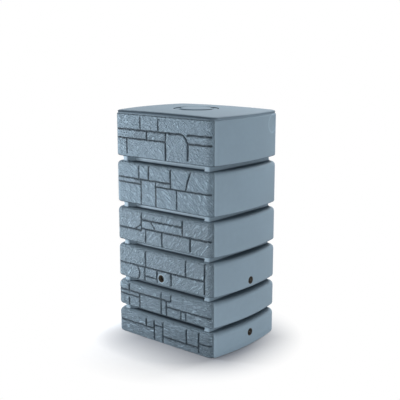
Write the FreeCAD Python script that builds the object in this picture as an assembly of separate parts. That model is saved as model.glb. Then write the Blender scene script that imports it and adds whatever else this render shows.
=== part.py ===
"""Rain barrel for a garden wall: a moulded tank of six tiers with a stone-pattern front.

Millimetres, +Z up. The origin is the middle of the base, the stone front faces -Y
and the smooth side with the two tap ports faces +X.
"""
import FreeCAD, Part
import math
import os

from FreeCAD import Vector

# Plan of the tank: straight distances between the corners, and how far each wall bows out
WIDTH = 648.0
DEPTH = 521.0
SIDE_BOW = 21.0
FRONT_BOW = 2.5
CORNER_RADIUS = 46.0
WALL = 4.0
STONE_WALL = 9.0

# Tiers from the base up, and the grooves between them
TIER_HEIGHTS = (123.0, 125.0, 167.0, 168.0, 208.0, 227.0)
GROOVE_HEIGHT = 28.0
TIER_HEAD_ROUNDING = 20.0
TIER_FOOT_ROUNDING = 12.0
BASE_ROUNDING = 10.0
HEAD_FACETS = 3
FOOT_FACETS = 2

# Plan of the grooves: straight side walls, and a slot between two pillars front and back
SIDE_GROOVE_DEPTH = 39.5
PILLAR_SETBACK = 17.0
PILLAR_WIDTH = 40.0
SLOT_SETBACK = 54.5
CORE_CORNER_ROUNDING = 6.0
PILLAR_ROUNDING = 9.0

# Crowned top with a thin lip over a shadow groove
CROWN_RISE = 8.0
LIP_THICKNESS = 5.0
LIP_BEVEL = 3.0
LIP_OVERHANG = 7.0
SHOULDER_DROP = 14.5
SHOULDER_ROUNDING = 5.0

# Joints between the stones
JOINT_WIDTH = 9.0
JOINT_DEPTH = 5.0
UPRIGHT_JOINT_DEPTH = 4.2
JOINT_OVERRUN = 1.2
JOINT_END_ANGLE = 34.0

# Round opening with its lid
SEAT_WIDTH = 14.0
RECESS_DEPTH = 11.0
NECK_RADIUS = 100.0
NECK_LENGTH = 30.0
LID_GAP = 2.0
SKIRT_CLEARANCE = 2.5
SKIRT_LENGTH = 14.0
LID_THICKNESS = 4.0
GRIP_SETBACK = 17.5
GRIP_HEIGHT = 6.5
GRIP_BEVEL = 3.0
POCKET_RADIUS = 11.0
POCKET_OFFSET = 2.0
POCKET_DEPTH = 8.5
POCKET_WALL = 3.0
POCKET_ANGLE = 48.0
SEAL_THICKNESS = 2.5
SEAL_MARGIN = 1.5

# Threaded ports for the taps: bore of a one-inch pipe thread
PORT_BORE_RADIUS = 15.15
INSERT_RADIUS = 19.0
INSERT_LENGTH = 26.0
INSERT_CLEARANCE = 0.05
BORE_RELIEF = 1.0
BOSS_WALL = 7.0
BOSS_BACKING = 4.0
FRONT_BOSS_RADIUS = 24.0
FRONT_BOSS_HEIGHT = 2.0
FRONT_PORT_X = -5.0
FRONT_PORT_Z = 341.0
SIDE_PORT_Y = 6.0
SIDE_PORT_HEIGHTS = (340.0, 70.0)

# Round pads high on both sides, where a downpipe hose can be fitted
PAD_RADIUS = 43.0
PAD_Y = 196.0
PAD_BELOW_TOP = 62.0
PAD_TURN = 12.0
PAD_DEPTH = 3.0

# Stone pattern of each tier from the base up. Across, 0 is the middle of the front and 1 the
# corner line; up, 0 is the foot of the tier and 1 its head. EDGE runs out round the corner.
EDGE = 2.0
LEVEL_JOINTS = (
    ((0.55, -EDGE, -0.18), (0.70, -0.18, 0.0), (0.31, 0.0, 0.72), (0.49, 0.72, EDGE)),
    ((0.65, -EDGE, 0.17), (0.47, -EDGE, -0.49), (0.40, 0.08, EDGE)),
    ((0.45, -EDGE, 0.83), (0.17, -0.37, -0.11)),
    ((0.73, -0.43, 0.41), (0.465, -0.43, EDGE), (0.405, -EDGE, -0.43)),
    ((0.63, -EDGE, 0.18), (0.51, -EDGE, -0.43), (0.505, -0.12, EDGE)),
    ((0.645, -EDGE, 0.39), (0.645, 0.52, EDGE), (0.44, -EDGE, 0.09), (0.45, 0.52, EDGE)),
)
UPRIGHT_JOINTS = (
    ((-0.35, 0.55, 0.86), (0.0, 0.04, 0.90), (-0.18, 0.08, 0.55), (-0.18, 0.55, 0.86),
     (0.48, 0.31, 0.90), (0.72, 0.12, 0.92)),
    ((-0.72, 0.65, 0.92), (-0.49, 0.06, 0.65), (-0.72, 0.06, 0.36), (-0.03, 0.06, 0.92),
     (0.17, 0.65, 0.92), (0.08, 0.06, 0.65), (0.37, 0.06, 0.40), (0.47, 0.06, 0.40)),
    ((-0.35, 0.45, 0.94), (0.47, 0.45, 0.94), (0.83, 0.08, 0.96), (-0.37, 0.05, 0.45),
     (-0.11, 0.08, 0.45), (0.18, 0.08, 0.45)),
    ((-0.43, 0.405, 0.94), (0.41, 0.465, 0.92), (-0.34, 0.06, 0.465), (0.0, 0.03, 0.465),
     (0.56, 0.07, 0.465)),
    ((-0.47, 0.63, 0.95), (-0.265, 0.63, 0.96), (0.18, 0.505, 0.95), (-0.425, 0.02, 0.63),
     (-0.12, 0.02, 0.63), (0.30, 0.06, 0.505)),
    ((-0.43, 0.645, 0.95), (-0.06, 0.645, 0.95), (-0.29, 0.44, 0.645), (0.09, 0.02, 0.645),
     (-0.715, 0.08, 0.44), (0.52, 0.09, 0.42)),
)
SLANTING_JOINTS = (
    (),
    (),
    (((-0.53, 0.45), (-0.485, 0.28)), ((-0.485, 0.28), (-0.485, 0.13)),
     ((-0.485, 0.13), (-0.525, 0.03))),
    (((-0.55, 0.44), (-0.43, 0.58)), ((-0.25, 0.73), (-0.15, 0.53))),
    (((0.56, 0.95), (0.47, 0.51)),),
    (((0.39, 0.645), (0.465, 0.53)), ((0.465, 0.53), (0.52, 0.42))),
)

# Derived places
UP = Vector(0, 0, 1)
TOP_TIER = len(TIER_HEIGHTS) - 1
CORNER_X = WIDTH / 2 - CORNER_RADIUS
CORNER_Y = DEPTH / 2 - CORNER_RADIUS
HALF_WIDTH = WIDTH / 2 + SIDE_BOW
HALF_DEPTH = DEPTH / 2 + FRONT_BOW
TOP_Z = sum(TIER_HEIGHTS) + TOP_TIER * GROOVE_HEIGHT
CROWN_Z = TOP_Z + CROWN_RISE
CROWN_RADIUS = ((WIDTH / 2) ** 2 + (DEPTH / 2) ** 2) / (2 * CROWN_RISE)
SHOULDER_Z = TOP_Z - SHOULDER_DROP
SEAT_Z = CROWN_Z - RECESS_DEPTH
SKIRT_RADIUS = NECK_RADIUS - SKIRT_CLEARANCE
GRIP_RADIUS = SKIRT_RADIUS - GRIP_SETBACK
POCKET_CIRCLE = GRIP_RADIUS + POCKET_OFFSET
RECESS_RADIUS = NECK_RADIUS + SEAT_WIDTH
LID_RADIUS = RECESS_RADIUS - LID_GAP
BOSS_RADIUS = INSERT_RADIUS + BOSS_WALL
BOSS_DEPTH = INSERT_LENGTH + BOSS_BACKING


def bow_radius(half_chord, bow):
    """Radius of an arc that rises by bow over a chord of twice half_chord."""
    return (half_chord ** 2 + bow ** 2) / (2 * bow)


FRONT_ARC = bow_radius(CORNER_X, FRONT_BOW)
SIDE_ARC = bow_radius(CORNER_Y, SIDE_BOW)
FRONT_ANGLE = math.asin(CORNER_X / FRONT_ARC)
SIDE_ANGLE = math.asin(CORNER_Y / SIDE_ARC)


def tier_foot(tier):
    """Height of the underside of a tier."""
    return sum(TIER_HEIGHTS[:tier]) + tier * GROOVE_HEIGHT


def tier_head(tier):
    """Height of the top of a tier, which is the shoulder on the top tier."""
    return SHOULDER_Z if tier == TOP_TIER else tier_foot(tier) + TIER_HEIGHTS[tier]


def outline(inset, z):
    """Closed plan outline of the tank, moved inwards by inset: four bowed walls, four corners."""
    corner = CORNER_RADIUS - inset
    front_mid = CORNER_Y + FRONT_BOW + corner
    side_mid = CORNER_X + SIDE_BOW + corner
    front_end = (CORNER_X + corner * math.sin(FRONT_ANGLE), CORNER_Y + corner * math.cos(FRONT_ANGLE))
    side_end = (CORNER_X + corner * math.cos(SIDE_ANGLE), CORNER_Y + corner * math.sin(SIDE_ANGLE))
    middle = (FRONT_ANGLE + math.pi / 2 - SIDE_ANGLE) / 2
    corner_mid = (CORNER_X + corner * math.sin(middle), CORNER_Y + corner * math.cos(middle))

    def at(point, sign_x, sign_y):
        return Vector(sign_x * point[0], sign_y * point[1], z)

    edges = []
    for sign in (-1, 1):
        edges.append(Part.Arc(at(front_end, -sign, sign), Vector(0, sign * front_mid, z),
                              at(front_end, sign, sign)))
        edges.append(Part.Arc(at(side_end, sign, -1), Vector(sign * side_mid, 0, z),
                              at(side_end, sign, 1)))
        for end in (-1, 1):
            edges.append(Part.Arc(at(front_end, sign, end), at(corner_mid, sign, end),
                                  at(side_end, sign, end)))
    return Part.Wire(Part.__sortEdges__([arc.toShape() for arc in edges]))


def prism(wire, height):
    """Solid between a plan wire and the same wire raised by height."""
    return Part.Face(wire).extrude(UP * height)


def slab(inset, low, high):
    """Prism of the tank's outline between two heights."""
    return prism(outline(inset, low), high - low)


def rounding(radius, facets):
    """Insets and distances from the edge along a quarter round made of flat facets."""
    angles = [math.pi / 2 * step / facets for step in range(facets + 1)]
    return [(radius * (1 - math.cos(angle)), radius * (1 - math.sin(angle))) for angle in angles]


def rounded_slab(low, high, foot, head):
    """Loft of the outline between two heights, with its foot and head rounded off."""
    wires = [outline(inset, low + rise) for inset, rise in reversed(foot)]
    wires += [outline(inset, high - drop) for inset, drop in head]
    return Part.makeLoft(wires, True, True)


def edges_at(shape, z):
    """Edges of a shape that lie wholly at one height."""
    return [edge for edge in shape.Edges
            if abs(edge.BoundBox.ZMin - z) < 0.01 and abs(edge.BoundBox.ZMax - z) < 0.01]


def cylinder(radius, low, high, x=0.0, y=0.0):
    """Upright cylinder between two heights."""
    return Part.makeCylinder(radius, high - low, Vector(x, y, low))


def crown(lowered):
    """Ball whose cap is the crowned top, lowered by some distance, with its poles on the sides."""
    ball = Part.makeSphere(CROWN_RADIUS)
    ball.rotate(Vector(0, 0, 0), Vector(1, 0, 0), 90)
    ball.translate(UP * (CROWN_Z - CROWN_RADIUS - lowered))
    return ball


def under_crown(inset, low, lowered):
    """Prism of the outline from a height up to the crowned top."""
    return slab(inset, low, CROWN_Z + CROWN_RISE).common(crown(lowered))


def core_plan(inset, z):
    """Plan of the grooves' inner walls: a block with one long slot front and back."""
    side = WIDTH / 2 - SIDE_GROOVE_DEPTH - inset
    pillar = DEPTH / 2 - PILLAR_SETBACK - inset
    slot = DEPTH / 2 - SLOT_SETBACK - inset
    slot_end = WIDTH / 2 - SIDE_GROOVE_DEPTH - PILLAR_WIDTH + inset
    quarter = [(side, pillar), (slot_end, pillar), (slot_end, slot)]
    ring = [(x, y) for x, y in quarter]
    ring += [(-x, y) for x, y in reversed(quarter)]
    ring += [(-x, -y) for x, y in quarter]
    ring += [(x, -y) for x, y in reversed(quarter)]
    points = [Vector(x, y, z) for x, y in ring]
    return Part.makePolygon(points + points[:1])


def core():
    """Block inside the tiers that the grooves are cut back to, with its upright edges rounded."""
    low = tier_foot(0) + WALL
    block = prism(core_plan(0.0, low), SHOULDER_Z - WALL - low)
    corner_x = WIDTH / 2 - SIDE_GROOVE_DEPTH
    slot_end = corner_x - PILLAR_WIDTH
    pillar = DEPTH / 2 - PILLAR_SETBACK

    def upright_edges(shape, x):
        found = []
        for edge in shape.Edges:
            box = edge.BoundBox
            upright = box.ZLength > GROOVE_HEIGHT and box.XLength < 0.01 and box.YLength < 0.01
            if upright and abs(abs(box.XMin) - x) < 0.01 and abs(abs(box.YMin) - pillar) < 0.01:
                found.append(edge)
        return found

    block = block.makeFillet(CORE_CORNER_ROUNDING, upright_edges(block, corner_x))
    return block.makeFillet(PILLAR_ROUNDING, upright_edges(block, slot_end))


def front_point(across, z):
    """Point on the front face at a share of the half width, at some height."""
    x = across * WIDTH / 2
    radius = FRONT_ARC + CORNER_RADIUS
    y = radius - math.sqrt(radius ** 2 - x ** 2) - HALF_DEPTH
    return Vector(x, y, z)


def groove_section(point, outward, across, depth):
    """Triangle of a stone joint: its mouth across the surface at point, its root inside."""
    proud = 1.0
    half_mouth = JOINT_WIDTH / 2 * (1 + proud / depth)
    mouth = point + outward * proud
    corners = [mouth + across * half_mouth, mouth - across * half_mouth, point - outward * depth]
    return Part.Face(Part.makePolygon(corners + corners[:1]))


def joint_sector(centre, radius, z, start, end):
    """Level joint along an arc of the outline, between two angles from the -Y direction."""
    outward = Vector(math.sin(start), -math.cos(start), 0)
    base = Vector(centre[0], centre[1], z)
    section = groove_section(base + outward * radius, outward, UP, JOINT_DEPTH)
    return section.revolve(base, UP, math.degrees(end - start))


def level_joint(tier, height, left, right):
    """Level joint of a tier from left to right, carried round the corner where it runs out."""
    z = tier_foot(tier) + height * (tier_head(tier) - tier_foot(tier))
    radius = FRONT_ARC + CORNER_RADIUS
    centre = (0.0, FRONT_ARC - CORNER_Y - FRONT_BOW)
    edge = math.radians(JOINT_END_ANGLE)

    def angle(across):
        reach = math.asin(across * WIDTH / 2 / radius)
        return max(-FRONT_ANGLE, min(FRONT_ANGLE, reach))

    pieces = [joint_sector(centre, radius, z, angle(left), angle(right))]
    if left == -EDGE:
        pieces.append(joint_sector((-CORNER_X, -CORNER_Y), CORNER_RADIUS, z, -edge, -FRONT_ANGLE))
    if right == EDGE:
        pieces.append(joint_sector((CORNER_X, -CORNER_Y), CORNER_RADIUS, z, FRONT_ANGLE, edge))
    return pieces


def straight_joint(tier, start, end):
    """Straight joint of a tier between two places on the front, given across and up."""
    foot = tier_foot(tier)
    rise = tier_head(tier) - foot
    first = front_point(start[0], foot + start[1] * rise)
    last = front_point(end[0], foot + end[1] * rise)
    overrun = last - first
    overrun.normalize()
    overrun = overrun * JOINT_OVERRUN
    first = first - overrun
    run = last + overrun - first
    outward = Vector(0, -1, 0)
    across = run.cross(outward)
    across.normalize()
    return groove_section(first, outward, across, UPRIGHT_JOINT_DEPTH).extrude(run)


def stone_joints(tier):
    """All the joints between the stones of one tier."""
    joints = []
    for height, left, right in LEVEL_JOINTS[tier]:
        joints += level_joint(tier, height, left, right)
    for across, low, high in UPRIGHT_JOINTS[tier]:
        joints.append(straight_joint(tier, (across, low), (across, high)))
    for start, end in SLANTING_JOINTS[tier]:
        joints.append(straight_joint(tier, start, end))
    return joints


def lip():
    """Thin bevelled plate of the crowned top, which stands out over the shoulder."""
    plate = under_crown(0.0, SHOULDER_Z, 0.0).cut(crown(LIP_THICKNESS))
    centre = UP * (CROWN_Z - CROWN_RADIUS)

    def on_top(edge):
        ends = [(vertex.Point - centre).Length for vertex in edge.Vertexes]
        return min(ends) > CROWN_RADIUS - LIP_THICKNESS / 2

    return plate.makeChamfer(LIP_BEVEL, [edge for edge in plate.Edges if on_top(edge)])


def plain_tier(tier):
    """One tier with rounded head and foot, before the stone joints are cut."""
    foot = rounding(BASE_ROUNDING if tier == 0 else TIER_FOOT_ROUNDING, FOOT_FACETS)
    if tier < TOP_TIER:
        head = rounding(TIER_HEAD_ROUNDING, HEAD_FACETS)
        return rounded_slab(tier_foot(tier), tier_head(tier), foot, head)
    lower = rounded_slab(tier_foot(tier), SHOULDER_Z, foot, rounding(SHOULDER_ROUNDING, FOOT_FACETS))
    neck = under_crown(LIP_OVERHANG, SHOULDER_Z - WALL, 0.0)
    return lower.fuse([neck, lip()])


def stone_tier(tier):
    """One tier with its stone joints."""
    return plain_tier(tier).cut(stone_joints(tier))


def hollow_edge(radius):
    """Bevel of the hollow behind a rounding, as insets and distances from the hollow's end."""
    bevel = (radius - WALL) * 0.75
    return [(WALL, bevel), (WALL + bevel, 0.0)]


def tier_cavity(tier):
    """Hollow of one tier, its head and foot bevelled to follow the outside rounding."""
    low = tier_foot(tier) + WALL
    high = tier_head(tier) - WALL
    head = [(WALL, 0.0)] if tier == TOP_TIER else hollow_edge(TIER_HEAD_ROUNDING)
    hollow = rounded_slab(low, high, hollow_edge(TIER_FOOT_ROUNDING), head)
    if tier == TOP_TIER:
        hollow = hollow.fuse(under_crown(LIP_OVERHANG + WALL, low + TIER_FOOT_ROUNDING, WALL))
    return hollow.cut(stone_backing(low, high))


def stone_backing(low, high):
    """Thicker wall behind the stones, from corner to corner, between two heights."""
    ring = slab(0.0, low, high).cut(slab(STONE_WALL, low, high))
    front = Part.makeBox(2 * HALF_WIDTH, HALF_DEPTH, high - low,
                         Vector(-HALF_WIDTH, -CORNER_Y - HALF_DEPTH, low))
    return ring.common(front)


def cavity():
    """Whole inside of the tank, one wall thickness in from the outside."""
    low = tier_foot(0) + WALL
    shaft = prism(core_plan(WALL, low), SHOULDER_Z - low)
    hollow = shaft.fuse([tier_cavity(tier) for tier in range(len(TIER_HEIGHTS))])
    seat_plate = cylinder(RECESS_RADIUS + WALL, SEAT_Z - WALL, CROWN_Z)
    return hollow.cut(seat_plate)


def across_cylinder(radius, start, direction, length):
    """Cylinder from a start point along a direction."""
    return Part.makeCylinder(radius, length, start, direction)


def ports():
    """Face centre and inward direction of each threaded port."""
    places = {"front_port_insert": (Vector(FRONT_PORT_X, -HALF_DEPTH - FRONT_BOSS_HEIGHT, FRONT_PORT_Z),
                                    Vector(0, 1, 0))}
    for name, z in zip(("side_upper_port_insert", "side_lower_port_insert"), SIDE_PORT_HEIGHTS):
        places[name] = (Vector(HALF_WIDTH, SIDE_PORT_Y, z), Vector(-1, 0, 0))
    return places


def pad_cut(side, radius, depth):
    """Cylinder that reaches a depth into one side at the pad, turned a little to the back."""
    turn = math.radians(PAD_TURN)
    inward = Vector(-side * math.cos(turn), -math.sin(turn), 0)
    radius_of_wall = SIDE_ARC + CORNER_RADIUS
    bow = radius_of_wall - math.sqrt(radius_of_wall ** 2 - PAD_Y ** 2)
    face = Vector(side * (HALF_WIDTH - bow), PAD_Y, TOP_Z - PAD_BELOW_TOP)
    start = face - inward * (2 * radius)
    return across_cylinder(radius, start, inward, 2 * radius + depth)


def tank_shell():
    """The moulded tank: tiers and core fused, then hollowed, with neck, bosses and pads."""
    body = core().fuse([stone_tier(tier) for tier in range(len(TIER_HEIGHTS))])
    hollow = cavity()
    for side in (-1, 1):
        body = body.cut(pad_cut(side, PAD_RADIUS, PAD_DEPTH))
        hollow = hollow.cut(pad_cut(side, PAD_RADIUS + WALL, PAD_DEPTH + WALL))
    for face, inward in ports().values():
        hollow = hollow.cut(across_cylinder(BOSS_RADIUS, face, inward, BOSS_DEPTH))
    front_face, inward = ports()["front_port_insert"]
    body = body.fuse(across_cylinder(FRONT_BOSS_RADIUS, front_face, inward, BOSS_DEPTH))
    shell = body.cut(hollow)
    shell = shell.fuse(cylinder(NECK_RADIUS + WALL, SEAT_Z - NECK_LENGTH, SEAT_Z))
    shell = shell.cut([cylinder(RECESS_RADIUS, SEAT_Z, CROWN_Z + CROWN_RISE),
                       cylinder(NECK_RADIUS, SEAT_Z - NECK_LENGTH, SEAT_Z)])
    for face, inward in ports().values():
        seat = across_cylinder(INSERT_RADIUS + INSERT_CLEARANCE, face - inward, inward, INSERT_LENGTH + 1)
        bore = across_cylinder(PORT_BORE_RADIUS + BORE_RELIEF, face, inward, BOSS_DEPTH + 1)
        shell = shell.cut([seat, bore])
    return shell.removeSplitter()


def port_insert(face, inward):
    """Threaded brass bush, moulded flush into the wall."""
    outer = across_cylinder(INSERT_RADIUS, face, inward, INSERT_LENGTH)
    return outer.cut(across_cylinder(PORT_BORE_RADIUS, face, inward, INSERT_LENGTH))


def lid_seal():
    """Flat rubber ring under the lid's rim."""
    high = SEAT_Z + SEAL_THICKNESS
    ring = cylinder(LID_RADIUS - SEAL_MARGIN, SEAT_Z, high)
    return ring.cut(cylinder(NECK_RADIUS + SEAL_MARGIN, SEAT_Z, high))


def screw_lid():
    """Lid with a raised round grip, two finger pockets and a short screw skirt."""
    low = SEAT_Z + SEAL_THICKNESS
    rim = low + LID_THICKNESS
    top = rim + GRIP_HEIGHT
    foot = SEAT_Z - SKIRT_LENGTH
    grip = cylinder(GRIP_RADIUS, low, top)
    grip = grip.makeChamfer(GRIP_BEVEL, edges_at(grip, top))
    plate = cylinder(LID_RADIUS, low, rim)
    plate = plate.makeChamfer(LID_THICKNESS / 4, edges_at(plate, rim))
    solid = plate.fuse([grip, cylinder(SKIRT_RADIUS, foot, low)])
    hollow = cylinder(SKIRT_RADIUS - LID_THICKNESS, foot, low)
    hollow = hollow.fuse(cylinder(GRIP_RADIUS - LID_THICKNESS, low - 1, top - LID_THICKNESS))
    pockets = []
    for turn in (0.0, 180.0):
        angle = math.radians(POCKET_ANGLE + turn)
        x = POCKET_CIRCLE * math.cos(angle)
        y = POCKET_CIRCLE * math.sin(angle)
        floor = rim - POCKET_DEPTH
        hollow = hollow.cut(cylinder(POCKET_RADIUS + POCKET_WALL, floor - POCKET_WALL, top, x, y))
        pockets.append(cylinder(POCKET_RADIUS, floor, top + 1, x, y))
    return solid.cut(hollow).cut(pockets).removeSplitter()


def main():
    """Build every piece and write one STEP file for each."""
    pieces = {"tank_shell": tank_shell(), "screw_lid": screw_lid(), "lid_seal": lid_seal()}
    for name, (face, inward) in ports().items():
        pieces[name] = port_insert(face, inward)
    os.makedirs("parts", exist_ok=True)
    for name, shape in pieces.items():
        print(name, "solids", len(shape.Solids), "valid", shape.isValid(),
              "litres", round(shape.Volume / 1e6, 3))
        shape.exportStep("parts/" + name + ".step")


main()
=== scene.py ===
"""Looks of the rain barrel: the stone-fronted tank, its screw lid, seal and port inserts.

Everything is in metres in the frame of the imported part: +Z up, the stone front faces -Y, the
smooth side with two tap ports faces +X.
"""
from __future__ import annotations

import logging
import math
from dataclasses import dataclass, field
from enum import Enum

import bpy
import numpy as np
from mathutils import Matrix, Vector

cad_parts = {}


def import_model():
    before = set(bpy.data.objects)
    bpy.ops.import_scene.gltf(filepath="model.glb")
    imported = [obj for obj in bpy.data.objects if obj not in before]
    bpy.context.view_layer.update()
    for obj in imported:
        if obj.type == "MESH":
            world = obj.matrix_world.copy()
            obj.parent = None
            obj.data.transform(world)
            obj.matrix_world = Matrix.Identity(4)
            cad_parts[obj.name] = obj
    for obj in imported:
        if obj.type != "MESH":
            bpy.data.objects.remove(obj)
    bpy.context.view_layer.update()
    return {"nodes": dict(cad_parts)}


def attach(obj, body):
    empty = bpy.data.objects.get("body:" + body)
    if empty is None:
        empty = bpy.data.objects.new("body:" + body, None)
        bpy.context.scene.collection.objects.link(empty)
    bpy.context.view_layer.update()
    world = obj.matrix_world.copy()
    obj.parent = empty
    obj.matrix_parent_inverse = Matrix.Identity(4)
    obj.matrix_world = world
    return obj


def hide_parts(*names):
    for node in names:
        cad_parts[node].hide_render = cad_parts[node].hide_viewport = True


LOG = logging.getLogger("rain_barrel")
MM = 0.001
WHITE = (1.0, 1.0, 1.0, 1.0)
BLACK = (0.0, 0.0, 0.0, 1.0)
EDGE = 2.0


class Face(Enum):
    """A face of the tank that holds a port."""

    FRONT = "front"
    SIDE = "side"


class Signal:
    """A shader socket on which arithmetic can be written."""

    def __init__(self, shader: Shader, socket: bpy.types.NodeSocket | None) -> None:
        """Wraps one output socket of a shader."""
        self.shader = shader
        self.socket = socket

    def maths(self, operation: str, *values: Signal | float) -> Signal:
        """Adds a Math node on values in order."""
        return self.shader.node("ShaderNodeMath", {"operation": operation}, dict(enumerate(values)))

    def __add__(self, other: Signal | float) -> Signal:
        """self + other."""
        return self.maths("ADD", self, other)

    def __radd__(self, other: float) -> Signal:
        """other + self."""
        return self.maths("ADD", other, self)

    def __sub__(self, other: Signal | float) -> Signal:
        """self - other."""
        return self.maths("SUBTRACT", self, other)

    def __rsub__(self, other: float) -> Signal:
        """other - self."""
        return self.maths("SUBTRACT", other, self)

    def __mul__(self, other: Signal | float) -> Signal:
        """self * other."""
        return self.maths("MULTIPLY", self, other)

    def __rmul__(self, other: float) -> Signal:
        """other * self."""
        return self.maths("MULTIPLY", other, self)

    def size(self) -> Signal:
        """The value without its sign."""
        return self.maths("ABSOLUTE", self)

    def clamped(self) -> Signal:
        """The value kept between 0 and 1."""
        return self.maths("MINIMUM", self.maths("MAXIMUM", self, 0.0), 1.0)


@dataclass
class Shader:
    """One node tree, and the ways to add nodes to it."""

    tree: bpy.types.NodeTree

    @classmethod
    def of(cls, owner: bpy.types.Material | bpy.types.World) -> Shader:
        """The cleared node tree of a material or of the world."""
        owner.use_nodes = True
        owner.node_tree.nodes.clear()
        return cls(owner.node_tree)

    def node(self, kind: str, settings: dict, inputs: dict, output: str | int | None = 0) -> Signal:
        """Adds a node.

        Args:
            kind: the node's type.
            settings: its properties, which are set before its sockets.
            inputs: value or link for each socket, by name or number.
            output: the socket that is handed back, if the node has one.

        Returns:
            The chosen output.
        """
        made = self.tree.nodes.new(kind)
        for name, value in settings.items():
            setattr(made, name, value)
        for name, value in inputs.items():
            if isinstance(value, Signal):
                self.tree.links.new(value.socket, made.inputs[name])
            else:
                made.inputs[name].default_value = value
        return Signal(self, None if output is None else made.outputs[output])

    def vector(self, operation: str, *values: Signal | tuple) -> Signal:
        """Adds a Vector Math node on values in order; a length comes back as a number."""
        output = "Value" if operation == "LENGTH" else "Vector"
        return self.node("ShaderNodeVectorMath", {"operation": operation}, dict(enumerate(values)), output)

    def mix(self, share: Signal | float, first: Signal | tuple, second: Signal | tuple) -> Signal:
        """Mixes two colours; a share of 0 is all of the first and 1 all of the second."""
        settings = {"data_type": "RGBA", "clamp_factor": True}
        return self.node("ShaderNodeMix", settings, {0: share, 6: first, 7: second}, 2)

    def place(self) -> Signal:
        """Object coordinates, in metres."""
        return self.node("ShaderNodeTexCoord", {}, {}, "Object")

    def noise(self, where: Signal, scale: float, detail: float) -> Signal:
        """A noise value between 0 and 1 at a place."""
        inputs = {"Vector": where, "Scale": scale, "Detail": detail, "Roughness": 0.55}
        return self.node("ShaderNodeTexNoise", {}, inputs, "Fac")

    def attribute(self, name: str) -> Signal:
        """A value stored on the mesh's points."""
        return self.node("ShaderNodeAttribute", {"attribute_name": name}, {}, "Fac")

    def bump(self, height: Signal, distance: float, strength: float, **below: Signal) -> Signal:
        """A bump on which a height of 1 stands a distance in metres, over the Normal below it."""
        inputs = {"Height": height, "Distance": distance, "Strength": strength, **below}
        return self.node("ShaderNodeBump", {}, inputs)


def srgb(red: float, green: float, blue: float) -> tuple[float, float, float, float]:
    """Linear colour of a screen colour.

    Args:
        red: its red, 0 to 255.
        green: its green.
        blue: its blue.

    Returns:
        Red, green, blue and a full alpha, each 0 to 1.
    """

    def linear(level: float) -> float:
        """Linear value of one channel."""
        part = level / 255.0
        return part / 12.92 if part <= 0.04045 else ((part + 0.055) / 1.055) ** 2.4

    return (linear(red), linear(green), linear(blue), 1.0)


@dataclass(frozen=True)
class Strokes:
    """Marks that lean one way: their lean in degrees, how many fit in a metre, and their detail."""

    lean: float
    across: float
    lengthwise: float
    detail: float = 3.0

    def noise(self, shader: Shader) -> Signal:
        """Noise that is drawn out along the marks.

        Args:
            shader: the material's nodes.

        Returns:
            A value between 0 and 1.
        """
        turn = (0.0, math.radians(self.lean), 0.0)
        turned = shader.node("ShaderNodeMapping", {}, {"Vector": shader.place(), "Rotation": turn})
        scale = (self.across, self.across, self.lengthwise)
        drawn = shader.node("ShaderNodeMapping", {}, {"Vector": turned, "Scale": scale})
        return shader.noise(drawn, 1.0, self.detail)


class Finish:
    """What all finishes share: the material round the values of its surface."""

    def surface(self, shader: Shader) -> dict:
        """Values and links for the surface's sockets, by name."""
        raise NotImplementedError

    def material(self, name: str) -> bpy.types.Material:
        """The finish as a material.

        Args:
            name: the material's name.

        Returns:
            The material.
        """
        material = bpy.data.materials.new(name)
        shader = Shader.of(material)
        body = shader.node("ShaderNodeBsdfPrincipled", {}, self.surface(shader))
        shader.node("ShaderNodeOutputMaterial", {}, {"Surface": body}, None)
        return material


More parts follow.
